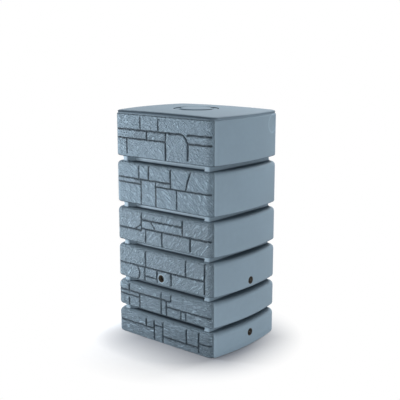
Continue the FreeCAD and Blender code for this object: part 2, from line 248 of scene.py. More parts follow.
@dataclass(frozen=True)
class MouldedPlastic(Finish):
    """Blue-grey moulded plastic: matt, fine grain, paler mottle, painted shade in deep corners and creases,
    painted highlights on ridges.
    """

    colour: tuple = srgb(127, 146, 160)
    # shadow: painted shade low on the stone front and in the chisel strokes' creases
    shadow: tuple = srgb(40, 58, 72)
    # deep: the dark joints, and painted shade in the grooves, under the lip and round the lid's grip
    deep: tuple = srgb(34, 46, 56)
    # paler random tone, and painted highlights on the strokes' crests and the pads' rims
    dust_and_highlight: tuple = srgb(148, 172, 190)
    roughness: float = 0.56
    shine: float = 0.2
    grain: float = 0.25 * MM
    stone: bool = False
    ring: float = 0.0
    rising: Strokes = Strokes(-42, 112, 26)
    falling: Strokes = Strokes(46, 105, 26)
    layered: Strokes = Strokes(-82, 112, 24)
    chips: Strokes = Strokes(20, 85, 55, 4.0)
    falling_from: float = 0.76
    layered_below: float = 0.29
    low_shade_below: float = 0.16
    low_shade_paint: float = 0.2
    shade_paint: float = 0.45
    crease_shade_paint: float = 0.34
    crest_highlight_paint: float = 0.55
    joint_paint: float = 0.8
    rim_highlight_paint: float = 0.7
    grip_shade_paint: float = 0.85
    grip_fade: float = 320.0
    grain_scale: float = 900.0
    stroke_height: float = 15 * MM

    def surface(self, shader: Shader) -> dict:
        """Clouds, mottle and grain, with the stones or a painted shade round the lid's grip on top.

        Args:
            shader: the material's nodes.

        Returns:
            Values and links for the surface's sockets, by name.
        """
        place = shader.place()
        cloud = shader.noise(place, 3.2, 2.0)
        mottle = shader.noise(place, 38.0, 4.0)
        tone = shader.mix((cloud - 0.35) * 0.4 + (mottle - 0.5) * 0.25, self.colour, self.dust_and_highlight)
        roughness = (mottle - 0.5) * 0.2 + self.roughness
        normal = shader.bump(shader.noise(place, self.grain_scale, 2.0), self.grain, 0.3)
        if self.stone:
            tone, normal = self.carve(shader, tone, normal)
            roughness = (roughness + shader.attribute("recess") * 0.4).clamped()
        if self.ring:
            # painted shade in the crease round the lid's grip
            away = shader.vector("LENGTH", shader.vector("MULTIPLY", place, (1.0, 1.0, 0.0)))
            grip_crease_shade = (1.0 - (away - self.ring).size() * self.grip_fade).clamped()
            tone = shader.mix(grip_crease_shade * self.grip_shade_paint, tone, self.deep)
        return {"Base Color": tone, "Roughness": roughness, "Normal": normal, "IOR": 1.46,
                "Specular IOR Level": self.shine}

    def carve(self, shader: Shader, tone: Signal, normal: Signal) -> tuple[Signal, Signal]:
        """Adds the chisel strokes and dark joints, painted shade in creases, grooves and low on the front,
        and painted highlights on crests and pad rims.

        Args:
            shader: the material's nodes.
            tone: the plain colour.
            normal: the plain normal.

        Returns:
            The new colour and normal.
        """
        joint, carved, shade = (shader.attribute(name) for name in ("joint", "carved", "shade"))
        level = shader.node("ShaderNodeSeparateXYZ", {}, {0: shader.place()}, "Z")
        rising, falling, layered, chips = (
            marks.noise(shader) for marks in (self.rising, self.falling, self.layered, self.chips))
        strokes = rising + (falling - rising) * ((shade - self.falling_from) * 12.0).clamped()
        strokes = strokes + (layered - strokes) * ((self.layered_below - level) * 80.0).clamped()
        ridge = (strokes - 0.5).size() * 7.0
        flake = (chips - 0.5).size() * 6.0
        # painted shade in the creases of the chisel strokes and chips
        crease = (1.0 - ridge).clamped() * 0.8 + (1.0 - flake).clamped() * 0.15
        # painted highlight on the crests of the chisel strokes
        crest = (strokes - 0.56) * 5.0
        # painted shade: the stone front gets darker towards its bottom
        low_shade = ((self.low_shade_below - level) * 9.0).clamped()
        # coats: painted shade low on the front, paler tone per stone, painted shade in creases, painted
        # highlight on crests, dark joints, painted shade of grooves and lips, painted highlight on pad rims
        coats = (
            (low_shade * carved * self.low_shade_paint, self.shadow),
            ((shade * self.shade_paint).clamped() * carved, self.dust_and_highlight),
            (crease.clamped() * carved * self.crease_shade_paint, self.shadow),
            (crest.clamped() * carved * self.crest_highlight_paint, self.dust_and_highlight),
            ((joint * 1.3).clamped() * self.joint_paint, self.deep),
            (shader.attribute("recess"), self.deep),
            (shader.attribute("rim") * self.rim_highlight_paint, self.dust_and_highlight),
        )
        for share, paint in coats:
            tone = shader.mix(share, tone, paint)
        height = (ridge.clamped() * 0.6 + strokes * 0.8 + flake.clamped() * 0.15) * carved
        return tone, shader.bump(height, self.stroke_height, 1.0, Normal=normal)


@dataclass(frozen=True)
class DullBrass(Finish):
    """Old brass of the port inserts, brown with handling and water."""

    colour: tuple = srgb(80, 74, 66)
    stain: tuple = srgb(38, 38, 38)
    roughness: float = 0.31

    def surface(self, shader: Shader) -> dict:
        """Brown patches and fine scratches.

        Args:
            shader: the material's nodes.

        Returns:
            Values and links for the surface's sockets, by name.
        """
        patches = shader.noise(shader.place(), 120.0, 4.0)
        tone = shader.mix((patches * 2.4 - 0.75).clamped(), self.colour, self.stain)
        scratches = shader.bump(shader.noise(shader.place(), 1400.0, 2.0), 0.1 * MM, 0.3)
        return {"Base Color": tone, "Roughness": patches * 0.3 + self.roughness, "Normal": scratches,
                "Metallic": 0.85}


@dataclass(frozen=True)
class SealRubber(Finish):
    """Matt black rubber with a faint bloom."""

    colour: tuple = srgb(30, 31, 32)
    bloom: tuple = srgb(58, 60, 62)

    def surface(self, shader: Shader) -> dict:
        """A cloudy bloom and a fine grain.

        Args:
            shader: the material's nodes.

        Returns:
            Values and links for the surface's sockets, by name.
        """
        cloud = shader.noise(shader.place(), 60.0, 3.0)
        tone = shader.mix((cloud * 1.6 - 0.5).clamped(), self.colour, self.bloom)
        grain = shader.bump(shader.noise(shader.place(), 1600.0, 2.0), 0.1 * MM, 0.4)
        return {"Base Color": tone, "Normal": grain, "Roughness": 0.7}


@dataclass
class Skin:
    """Points, faces and stored point values of one mesh while it is put together."""

    points: list = field(default_factory=list)
    faces: list = field(default_factory=list)
    values: dict = field(default_factory=dict)
    count: int = 0

    def add_points(self, places: np.ndarray, **values: np.ndarray) -> np.ndarray:
        """Adds points.

        Args:
            places: an (n, 3) array.
            values: stored values, one for each point; left out means 0.

        Returns:
            The new points' numbers.
        """
        places = np.asarray(places, float).reshape(-1, 3)
        numbers = np.arange(self.count, self.count + len(places))
        self.points.append(places)
        self.count += len(places)
        for name in self.values:
            stored = values.get(name, np.zeros(len(places)))
            self.values[name].append(np.asarray(stored, float).reshape(-1))
        return numbers

    def add_face(self, corners: list[int] | np.ndarray) -> None:
        """Adds one face from its points' numbers."""
        self.faces.append(tuple(int(corner) for corner in corners))

    def add_band(self, first: np.ndarray, second: np.ndarray) -> None:
        """Joins two closed loops of as many points with quads.

        Args:
            first: point numbers of one loop.
            second: those of the other, in the same order.
        """
        after_first = np.roll(first, -1)
        after_second = np.roll(second, -1)
        quads = np.stack([first, after_first, after_second, second], axis=1)
        self.faces += [tuple(quad) for quad in quads.tolist()]

    def build(self, name: str, sharp: float = 38.0) -> bpy.types.Object:
        """Makes the object.

        Args:
            name: the piece's name.
            sharp: edges that bend by more than this many degrees stay sharp.

        Returns:
            The new object, smooth shaded.
        """
        points = np.concatenate(self.points)
        used = np.zeros(len(points), bool)
        for face in self.faces:
            used[list(face)] = True
        number = np.cumsum(used) - 1
        mesh = bpy.data.meshes.new(name)
        faces = [tuple(int(number[corner]) for corner in face) for face in self.faces]
        mesh.from_pydata(points[used].tolist(), [], faces)
        for key, parts in self.values.items():
            stored = np.concatenate(parts)[used]
            layer = mesh.attributes.new(key, "FLOAT", "POINT")
            layer.data.foreach_set("value", stored.astype(np.float32))
        mesh.polygons.foreach_set("use_smooth", [True] * len(mesh.polygons))
        mesh.set_sharp_from_angle(angle=math.radians(sharp))
        mesh.validate()
        mesh.update()
        piece = bpy.data.objects.new(name, mesh)
        bpy.context.scene.collection.objects.link(piece)
        return piece


@dataclass(frozen=True)
class Plan:
    """The tank's plan: four bowed walls, four round corners, and the notched core in the grooves."""

    corner_x: float = 278 * MM
    corner_y: float = 214.5 * MM
    corner_radius: float = 46 * MM
    side_bow: float = 21 * MM
    front_bow: float = 2.5 * MM
    core_x: float = 284.5 * MM
    pillar_y: float = 243.5 * MM
    slot_x: float = 244.5 * MM
    slot_y: float = 206 * MM
    core_round: float = 6 * MM
    pillar_round: float = 9 * MM

    @staticmethod
    def bow_radius(half_chord: float, bow: float) -> float:
        """Radius of an arc that rises by bow over a chord of twice half_chord."""
        return (half_chord**2 + bow**2) / (2 * bow)

    @property
    def front_radius(self) -> float:
        """Radius of the front and back walls."""
        return self.bow_radius(self.corner_x, self.front_bow) + self.corner_radius

    @property
    def side_radius(self) -> float:
        """Radius of the side walls."""
        return self.bow_radius(self.corner_y, self.side_bow) + self.corner_radius

    @property
    def front_angle(self) -> float:
        """Half the angle of the front wall's arc."""
        return math.asin(self.corner_x / (self.front_radius - self.corner_radius))

    @property
    def side_angle(self) -> float:
        """Half the angle of a side wall's arc."""
        return math.asin(self.corner_y / (self.side_radius - self.corner_radius))

    @property
    def half_depth(self) -> float:
        """Distance from the middle to the front face."""
        return self.corner_y + self.front_bow + self.corner_radius

    @property
    def half_width(self) -> float:
        """Distance from the middle to a side face."""
        return self.corner_x + self.side_bow + self.corner_radius

    @property
    def corner_start(self) -> float:
        """Length along the outline from the middle of the front to the corner arc."""
        return self.front_radius * self.front_angle

    @property
    def corner_end(self) -> float:
        """Length along the outline from the middle of the front to the corner arc's end."""
        turn = math.pi / 2 - self.side_angle - self.front_angle
        return self.corner_start + self.corner_radius * turn

    @property
    def quarter(self) -> float:
        """Length along the outline from the middle of the front to the middle of the side."""
        return self.corner_end + self.side_radius * self.side_angle

    def outline(self, along: np.ndarray) -> tuple[np.ndarray, np.ndarray]:
        """Points and outward directions on a quarter of the outline.

        Args:
            along: lengths from the middle of the front towards the middle of the side.

        Returns:
            Points and directions as (n, 2) arrays, with x to the side and y out of the front.
        """
        along = np.asarray(along, float)
        wall = (along > self.corner_start).astype(int) + (along > self.corner_end)
        turn = np.choose(wall, (
            along / self.front_radius,
            self.front_angle + (along - self.corner_start) / self.corner_radius,
            math.pi / 2 - self.side_angle + (along - self.corner_end) / self.side_radius))
        radius = np.choose(wall, (self.front_radius, self.corner_radius, self.side_radius))
        centre = np.array([(0.0, self.half_depth - self.front_radius), (self.corner_x, self.corner_y),
                           (self.half_width - self.side_radius, 0.0)])[wall]
        outward = np.stack([np.sin(turn), np.cos(turn)], axis=1)
        return centre + outward * radius[:, None], outward

    def core_path(self, inset: float) -> np.ndarray:
        """Corner points of a quarter of the core, from the middle of the slot to the side.

        Args:
            inset: how far the core's walls stand back.

        Returns:
            An (n, 2) array.
        """
        slot_x, slot_y = self.slot_x + inset, self.slot_y - inset
        pillar_y, core_x = self.pillar_y - inset, self.core_x - inset
        path = [(0.0, slot_y), (slot_x, slot_y)]
        for step in range(7):
            angle = math.radians(15 * step)
            path.append((slot_x + self.pillar_round * (1 - math.cos(angle)),
                         pillar_y - self.pillar_round * (1 - math.sin(angle))))
        for step in range(5):
            angle = math.radians(22.5 * step)
            path.append((core_x - self.core_round * (1 - math.sin(angle)),
                         pillar_y - self.core_round * (1 - math.cos(angle))))
        path.append((core_x, 0.0))
        return np.array(path)

    def core_stations(self) -> np.ndarray:
        """Lengths along the outline that belong to the core path's corner points."""
        mouth = self.slot_x - 5 * MM
        stations = [0.0, mouth]
        stations += list(np.linspace(mouth + 3 * MM, mouth + 14 * MM, 7))
        stations += list(np.linspace(self.corner_start - 6 * MM, self.corner_start + 16 * MM, 5))
        stations.append(self.quarter)
        return np.array(stations)

    def core(self, along: np.ndarray, inset: float = 0.0) -> np.ndarray:
        """Points on a quarter of the core that belong to lengths along the outline.

        Args:
            along: lengths from the middle of the front towards the middle of the side.
            inset: how far the core's walls stand back.

        Returns:
            An (n, 2) array.
        """
        stations = self.core_stations()
        path = self.core_path(inset)
        return np.stack([np.interp(along, stations, path[:, 0]),
                         np.interp(along, stations, path[:, 1])], axis=1)


@dataclass(frozen=True)
class StonePattern:
    """Joints between the stones of each tier, and the shape of the stones' faces.

    Across, 0 is the middle of the front and 1 the corner line, and EDGE runs out round the
    corner; up, 0 is the foot of the tier and 1 its head.
    """

    half_width: float = 324 * MM
    joint_depth: float = 5.0 * MM
    joint_half_width: float = 5.2 * MM
    joint_end: float = 9 * MM
    joint_wander: float = 0.9 * MM
    joint_ragged: float = 0.4 * MM
    edge_ragged: float = 1.5 * MM
    edge_fade: float = 3.2 * MM
    proud: float = 0.3 * MM
    most_proud: float = 1.7 * MM
    pillow: float = 1.4 * MM
    pillow_reach: float = 11 * MM
    rough: float = 2.2 * MM
    stroke_width: float = 17 * MM
    rising: float = 132.0
    layered: float = 98.0
    falling: float = 46.0
    falling_from: float = 0.8
    layered_tiers: int = 2
    smallest_stone: int = 12
    first_seed: int = 11
    level: tuple = (
        ((0.55, -EDGE, -0.18), (0.70, -0.18, 0.0), (0.31, 0.0, 0.72), (0.49, 0.72, EDGE)),
        ((0.65, -EDGE, 0.17), (0.47, -EDGE, -0.49), (0.40, 0.08, EDGE)),
        ((0.45, -EDGE, 0.83), (0.17, -0.37, -0.11)),
        ((0.73, -0.43, 0.41), (0.465, -0.43, EDGE), (0.405, -EDGE, -0.43)),
        ((0.63, -EDGE, 0.18), (0.51, -EDGE, -0.43), (0.505, -0.12, EDGE)),
        ((0.645, -EDGE, 0.39), (0.645, 0.52, EDGE), (0.44, -EDGE, 0.09), (0.45, 0.52, EDGE)),
    )
    upright: tuple = (
        ((-0.35, 0.55, 0.86), (0.0, 0.04, 0.90), (-0.18, 0.08, 0.55), (-0.18, 0.55, 0.86),
         (0.48, 0.31, 0.90), (0.72, 0.12, 0.92)),
        ((-0.72, 0.65, 0.92), (-0.49, 0.06, 0.65), (-0.72, 0.06, 0.36), (-0.03, 0.06, 0.92),
         (0.17, 0.65, 0.92), (0.08, 0.06, 0.65), (0.37, 0.06, 0.40), (0.47, 0.06, 0.40)),
        ((-0.35, 0.45, 0.94), (0.47, 0.45, 0.94), (0.83, 0.08, 0.96), (-0.37, 0.05, 0.45),
         (-0.11, 0.08, 0.45), (0.18, 0.08, 0.45)),
        ((-0.43, 0.405, 0.94), (0.41, 0.465, 0.92), (-0.34, 0.06, 0.465), (0.0, 0.03, 0.465),
         (0.56, 0.07, 0.465)),
        ((-0.47, 0.63, 0.95), (-0.265, 0.63, 0.96), (0.18, 0.505, 0.95), (-0.425, 0.02, 0.63),
         (-0.12, 0.02, 0.63), (0.30, 0.06, 0.505)),
        ((-0.43, 0.645, 0.95), (-0.06, 0.645, 0.95), (-0.29, 0.44, 0.645), (0.09, 0.02, 0.645),
         (-0.715, 0.08, 0.44), (0.52, 0.09, 0.42)),
    )
    slanting: tuple = (
        (),
        (),
        (((-0.53, 0.45), (-0.485, 0.28)), ((-0.485, 0.28), (-0.485, 0.13)),
         ((-0.485, 0.13), (-0.525, 0.03))),
        (((-0.55, 0.44), (-0.43, 0.58)), ((-0.25, 0.73), (-0.15, 0.53))),
        (((0.56, 0.95), (0.47, 0.51)),),
        (((0.39, 0.645), (0.43, 0.63)), ((0.43, 0.63), (0.475, 0.56)), ((0.475, 0.56), (0.505, 0.49)),
         ((0.505, 0.49), (0.52, 0.42)), ((0.14, 0.66), (0.17, 0.625)), ((0.17, 0.625), (0.21, 0.64))),
    )

    def segments(self, tier: int, foot: float, head: float, edge: float) -> list:
        """Joints of a tier as straight lines.

        Args:
            tier: number of the tier, from the base up.
            foot: height of its underside.
            head: height of its top.
            edge: length along the outline at which the stones end.

        Returns:
            Pairs of end points, each a length along the outline and a height.
        """
        reach = edge - self.joint_end

        def spot(across: float, up: float) -> tuple[float, float]:
            """Length along the outline and height for shares of the half width and the rise."""
            return max(-reach, min(reach, across * self.half_width)), foot + up * (head - foot)

        lines = [(spot(left, up), spot(right, up)) for up, left, right in self.level[tier]]
        lines += [(spot(place, low), spot(place, high)) for place, low, high in self.upright[tier]]
        return lines + [(spot(*start), spot(*end)) for start, end in self.slanting[tier]]

    @staticmethod
    def distance(along: np.ndarray, up: np.ndarray, lines: list) -> np.ndarray:
        """Distance of each place to the nearest line.

        Args:
            along: lengths along the outline.
            up: heights.
            lines: pairs of end points.

        Returns:
            The distances.
        """
        nearest = np.full(along.shape, 1.0)
        for (x0, z0), (x1, z1) in lines:
            run_x, run_z = x1 - x0, z1 - z0
            length = max(run_x**2 + run_z**2, 1e-12)
            share = np.clip(((along - x0) * run_x + (up - z0) * run_z) / length, 0, 1)
            gap = np.hypot(along - x0 - share * run_x, up - z0 - share * run_z)
            nearest = np.minimum(nearest, gap)
        return nearest

    @staticmethod
    def stones(joint: np.ndarray) -> np.ndarray:
        """Numbers the patches of places that no joint separates, by spreading the largest number.

        Args:
            joint: how deep in a joint each place lies, 0 to 1.

        Returns:
            A number for each place, the same all over a stone and 0 in the joints.
        """
        open_place = joint < 0.35
        label = np.where(open_place, np.arange(1, joint.size + 1).reshape(joint.shape), 0)
        for _ in range(sum(joint.shape)):
            spread = label.copy()
            spread[1:] = np.maximum(spread[1:], label[:-1])
            spread[:-1] = np.maximum(spread[:-1], label[1:])
            spread[:, 1:] = np.maximum(spread[:, 1:], label[:, :-1])
            spread[:, :-1] = np.maximum(spread[:, :-1], label[:, 1:])
            spread = np.where(open_place, spread, 0)
            if np.array_equal(spread, label):
                break
            label = spread
        return label

    @staticmethod
    def waves(along: np.ndarray, up: np.ndarray, seed: int, size: float, turn: float) -> np.ndarray:
        """Smooth unevenness between -1 and 1.

        Args:
            along: lengths along the outline.
            up: heights.
            seed: picks the waves.
            size: the usual wavelength in metres.
            turn: angle of the longer waves in degrees.

        Returns:
            The unevenness at each place.
        """
        rng = np.random.default_rng(seed)
        total = np.zeros(along.shape)
        for _ in range(9):
            angle = math.radians(turn) + rng.normal(0, 0.3)
            wave = size * rng.uniform(0.6, 1.8)
            phase = rng.uniform(0, 2 * math.pi)
            run = along * math.cos(angle) + up * math.sin(angle)
            cross = -along * math.sin(angle) + up * math.cos(angle)
            bend = rng.uniform(0.5, 1.5) * np.sin(cross / (wave * 0.9) + phase)
            total += np.sin(2 * math.pi * run / wave + phase + bend)
        return np.clip(total / 4.5, -1, 1)

    def relief(self, along: np.ndarray, up: np.ndarray, lines: list, edge: float, tier: int) -> dict:
        """Shape of the stones of one tier.

        Args:
            along: lengths along the outline, as a grid.
            up: heights, as a grid.
            lines: the tier's joints.
            edge: length along the outline at which the stones end.
            tier: number of the tier, which picks the unevenness.

        Returns:
            Height of the surface in metres, and joint and shade values from 0 to 1.
        """
        seed = self.first_seed + tier
        wander = self.joint_wander * self.waves(along, up, seed + 50, 38 * MM, 20)
        ragged = self.joint_ragged * self.waves(along, up, seed + 60, 11 * MM, 70)
        gap = self.distance(along + wander, up + wander * 0.8, lines)
        groove = np.clip(1 - (gap + ragged) / self.joint_half_width, 0, 1)
        joint = np.clip(groove * 1.7, 0, 1)
        label = self.stones(np.clip(1 - gap / self.joint_half_width, 0, 1))
        tilt = np.zeros(along.shape)
        shade = np.zeros(along.shape)
        rng = np.random.default_rng(seed)
        for number in np.unique(label):
            inside = label == number
            if number == 0 or inside.sum() < self.smallest_stone:
                continue
            slope_along, slope_up = rng.normal(0, 0.014), rng.normal(0, 0.018)
            slope = (along - along[inside].mean()) * slope_along + (up - up[inside].mean()) * slope_up
            tilt[inside] = (np.clip(slope, -1.3 * MM, 1.0 * MM) + rng.normal(-0.2 * MM, 0.4 * MM))[inside]
            shade[inside] = rng.uniform(0.0, 1.0)
        pillow = self.pillow * (np.clip(gap / self.pillow_reach, 0, 1) ** 0.5 - 1)
        turn = self.layered if tier < self.layered_tiers else self.rising
        rising = self.waves(along, up, seed + 7, self.stroke_width, turn)
        falling = self.waves(along, up, seed + 8, self.stroke_width, self.falling)
        strokes = np.where(shade > self.falling_from, falling, rising)
        broad = self.waves(along, up, seed + 19, 48 * MM, 30)
        uneven = self.rough * (0.5 * strokes + 0.45 * broad) * (1 - joint)
        height = self.proud + pillow + tilt * (1 - joint) + uneven
        height = height * (1 - joint) - self.joint_depth * np.sqrt(groove) * joint
        ragged_edge = edge + self.edge_ragged * self.waves(up, up, seed + 33, 30 * MM, 90)
        inside = np.clip((ragged_edge - np.abs(along)) / self.edge_fade, 0, 1)
        height = np.clip(height, -self.joint_depth, self.most_proud) * inside
        return {"height": height, "joint": joint * inside, "shade": shade}


@dataclass(frozen=True)
class Port:
    """A threaded tap port: the node of its insert, its face and place, and how far its boss stands."""

    name: str
    face: Face
    across: float
    height: float
    boss: float

    def axes(self, plan: Plan) -> tuple[np.ndarray, np.ndarray, np.ndarray]:
        """The port's own axes.

        Args:
            plan: the tank's plan.

        Returns:
            Its centre on the wall, its inward direction and its sideways direction.
        """
        if self.face is Face.FRONT:
            centre = np.array([self.across, -plan.half_depth, self.height])
            return centre, np.array([0.0, 1.0, 0.0]), np.array([1.0, 0.0, 0.0])
        centre = np.array([plan.half_width, self.across, self.height])
        return centre, np.array([-1.0, 0.0, 0.0]), np.array([0.0, 1.0, 0.0])

    def offsets(self, plan: Plan, places: np.ndarray) -> tuple[np.ndarray, np.ndarray, np.ndarray]:
        """How deep, how far sideways and how high places are from the port's centre."""
        centre, inward, sideways = self.axes(plan)
        offset = places - centre
        return offset @ inward, offset @ sideways, offset[..., 2]

    def circle(self, plan: Plan, angle: np.ndarray, radius: float | np.ndarray, depth: float) -> np.ndarray:
        """Points round the port's axis.

        Args:
            plan: the tank's plan.
            angle: the points' angles from the sideways direction.
            radius: their distance from the axis.
            depth: how deep they lie behind the wall.

        Returns:
            An (n, 3) array.
        """
        centre, inward, sideways = self.axes(plan)
        outward = np.cos(angle)[:, None] * sideways + np.sin(angle)[:, None] * np.array([0.0, 0.0, 1.0])
        return centre + inward * depth + np.reshape(radius, (-1, 1)) * outward


PORTS = (
    Port("front_port_insert", Face.FRONT, -5 * MM, 341 * MM, 2 * MM),
    Port("side_upper_port_insert", Face.SIDE, 6 * MM, 340 * MM, 0.0),
    Port("side_lower_port_insert", Face.SIDE, 6 * MM, 70 * MM, 0.0),
)


@dataclass
class Row:
    """One closed loop of points round the tank.

    It lies at a height, or as far below the crown as below_crown says, and stands back from the
    outline by inset. A share of to_core takes it to the notched core, and one of to_ring to a
    circle. Recess is how dark it is painted, a painted shade for grooves, lips and recesses;
    carved is its share of the stones' shape, and rise how far that shape moves it up instead of
    out. A fine row is only there in the stone front.
    """

    height: float = 0.0
    inset: float = 0.0
    to_core: float = 0.0
    core_inset: float = 0.0
    recess: float = 0.0
    inner: bool = False
    to_ring: float = 0.0
    ring: float = 0.0
    below_crown: float | None = None
    carved: float = 0.0
    rise: float = 0.0
    tier: int = -1
    fine: bool = False


@dataclass
class Tank:
    """The moulded tank: tiers, grooves, stone front, crowned top, recess and port seats.

    The lip's profile lists insets, drops below the crown, both in millimetres, and shades. The
    groove's shades go from its ledge up, and the ledge has pairs of a share of the way to the
    core and a shade. The crown's shares lead from the lip to the round recess.
    """

    plan: Plan = field(default_factory=Plan)
    stone: StonePattern = field(default_factory=StonePattern)
    tiers: tuple = (123 * MM, 125 * MM, 167 * MM, 168 * MM, 208 * MM, 227 * MM)
    groove: float = 28 * MM
    head_round: float = 20 * MM
    foot_round: float = 8 * MM
    base_round: float = 10 * MM
    shoulder_round: float = 5 * MM
    shoulder_drop: float = 14.5 * MM
    side_shadow: float = 0.3
    side_groove_shade: float = 0.65
    crown_rise: float = 8 * MM
    overhang: float = 7 * MM
    recess_radius: float = 114 * MM
    recess_depth: float = 11 * MM
    neck_radius: float = 100 * MM
    neck_length: float = 30 * MM
    wall: float = 4 * MM
    spacing: float = 4.6 * MM
    stone_wall: float = 9 * MM
    waist: float = 4 * MM
    stone_edge: float = 45.0
    blocks: dict = field(default_factory=lambda: {Face.FRONT: 28 * MM, Face.SIDE: 32 * MM})
    seat_radius: float = 19.05 * MM
    seat_depth: float = 26 * MM
    backing_radius: float = 26 * MM
    bore_radius: float = 16.15 * MM
    boss_radius: float = 24 * MM
    grip_radius: float = 81 * MM
    pad_radius: float = 43 * MM
    pad_y: float = 196 * MM
    pad_turn: float = 12.0
    pad_depth: float = 3 * MM
    pad_drop: float = 62 * MM
    pad_edge: float = 3 * MM
    pad_rim: float = 5 * MM
    pad_reach: float = 20 * MM
    pad_span: float = 96 * MM
    port_span: float = 44 * MM
    block_depth: float = 30 * MM
    calm_from: float = 25 * MM
    calm_fade: float = 5 * MM
    bore_depth: float = 40 * MM
    bore_near: float = 17 * MM
    bore_far: float = 25.5 * MM
    pad_rows: float = 92 * MM
    pad_spacing: float = 6 * MM
    base_inset: float = 30 * MM
    bevel_share: float = 0.75
    ledge: tuple = ((0.25, 0.45), (0.6, 0.85))
    groove_shades: tuple = (0.95, 0.6, 0.1, 0.0, 0.0, 0.0, 0.15, 0.5, 0.7)
    lip_profile: tuple = (
        (4.7, 8.6, 0.9), (4.5, 7.6, 0.95), (3.8, 6.8, 0.95), (3.8, 5.6, 0.95),
        (4.9, 4.0, 0.9), (7.0, 2.6, 0.6), (10.5, 1.3, 0.3), (15.0, 0.5, 0.12),
    )
    crown_inset: float = 22 * MM
    crown_shares: tuple = (0.0, 0.06, 0.14, 0.24, 0.36, 0.5, 0.64, 0.78, 0.9)

    @property
    def last(self) -> int:
        """Number of the top tier."""
        return len(self.tiers) - 1

    @property
    def top(self) -> float:
        """Height of the shoulder."""
        return sum(self.tiers) + self.groove * self.last

    @property
    def crown(self) -> float:
        """Height of the crown's middle."""
        return self.top + self.crown_rise

    @property
    def seat(self) -> float:
        """Height of the seat under the lid's rim."""
        return self.crown - self.recess_depth

    @property
    def edge(self) -> float:
        """Length along the outline at which the stones end."""
        turn = math.radians(self.stone_edge) - self.plan.front_angle
        return self.plan.corner_start + self.plan.corner_radius * turn

    def foot(self, tier: int) -> float:
        """Height of a tier's underside."""
        return sum(self.tiers[:tier]) + self.groove * tier

    def head(self, tier: int) -> float:
        """Height of a tier's top."""
        if tier == self.last:
            return self.top - self.shoulder_drop
        return self.foot(tier) + self.tiers[tier]

    def on_crown(self, places: np.ndarray) -> np.ndarray:
        """Height of the crowned top.

        Args:
            places: an (n, 2) array of places in plan.

        Returns:
            The height over each place.
        """
        half_x = self.plan.corner_x + self.plan.corner_radius
        half_y = self.plan.corner_y + self.plan.corner_radius
        radius = (half_x**2 + half_y**2) / (2 * self.crown_rise)
        return self.crown - radius + np.sqrt(radius**2 - (places**2).sum(axis=1))

    def stations(self, stone: bool, ports: bool) -> np.ndarray:
        """Lengths along a quarter of the outline at which there is a column of points.

        Args:
            stone: whether the quarter carries stones and needs close columns.
            ports: whether the quarter's side carries ports.

        Returns:
            The lengths, in order.
        """
        plan = self.plan
        marks = list(plan.core_stations()[1:-1]) + [0.0, self.edge, plan.corner_end, plan.quarter]
        spans = [(plan.corner_end, plan.quarter - self.port_span, 8), (self.edge, plan.corner_end, 6)]
        if stone:
            spans.append((0, self.edge, round(self.edge / self.spacing) + 1))
        else:
            past_pad = plan.corner_end + self.pad_span
            spans += [(0, plan.corner_start, 7), (plan.corner_start, self.edge, 5),
                      (plan.corner_end, past_pad, 16), (past_pad, plan.quarter - 16 * MM, 5)]
        apart = 4 if ports else 19
        marks += list(plan.quarter - np.arange(2, 42, apart) * MM)
        every = np.sort(np.concatenate([marks] + [np.linspace(*span) for span in spans]))
        kept = [every[0]]
        precious = np.array(marks)
        for value in every[1:]:
            if value - kept[-1] > 1.0 * MM:
                kept.append(value)
            elif np.abs(precious - value).min() < 1e-9:
                kept[-1] = value
        return np.array(kept)

    def columns(self) -> dict:
        """All columns round the tank, counter-clockwise from the middle of the front.

        Returns:
            Arrays of outline points, outward directions, core points, how far these move as the
            core shrinks, signed lengths along the front, whether a column is in the stone front
            and whether the plain inside needs it.
        """
        quarters = []
        shrink = 10 * MM
        for sign_x, sign_y, backwards in ((1, -1, False), (1, 1, True), (-1, 1, False), (-1, -1, True)):
            lengths = self.stations(sign_y < 0, sign_x > 0)
            lengths = lengths[::-1][:-1] if backwards else lengths[:-1]
            sign = np.array([sign_x, sign_y])
            places, directions = self.plan.outline(lengths)
            core = self.plan.core(lengths) * sign
            quarters.append({
                "point": places * sign,
                "outward": directions * sign,
                "core": core,
                "waist": (self.plan.core(lengths, shrink) * sign - core) / shrink,
                "along": lengths * sign_x,
                "front": (lengths <= self.edge + 1e-9) & (sign_y < 0),
            })
        columns = {name: np.concatenate([quarter[name] for quarter in quarters]) for name in quarters[0]}
        columns["inner"] = self.inner_columns(columns["along"], columns["front"])
        return columns

    def inner_columns(self, along: np.ndarray, front: np.ndarray) -> np.ndarray:
        """Picks the columns that the plain inside of the tank needs.

        Args:
            along: the columns' signed lengths along the front.
            front: whether they are in the stone front.

        Returns:
            True for each picked column.
        """
        picked = ~front
        last = -1.0
        for number in np.where(front)[0][np.argsort(along[front])]:
            near_port = abs(along[number] - PORTS[0].across) < self.block_depth
            on_corner = abs(along[number]) > self.plan.slot_x - 8 * MM
            apart = (3.5 if near_port or on_corner else 24) * MM
            if abs(along[number] - last) > apart:
                picked[number] = True
                last = along[number]
        return picked

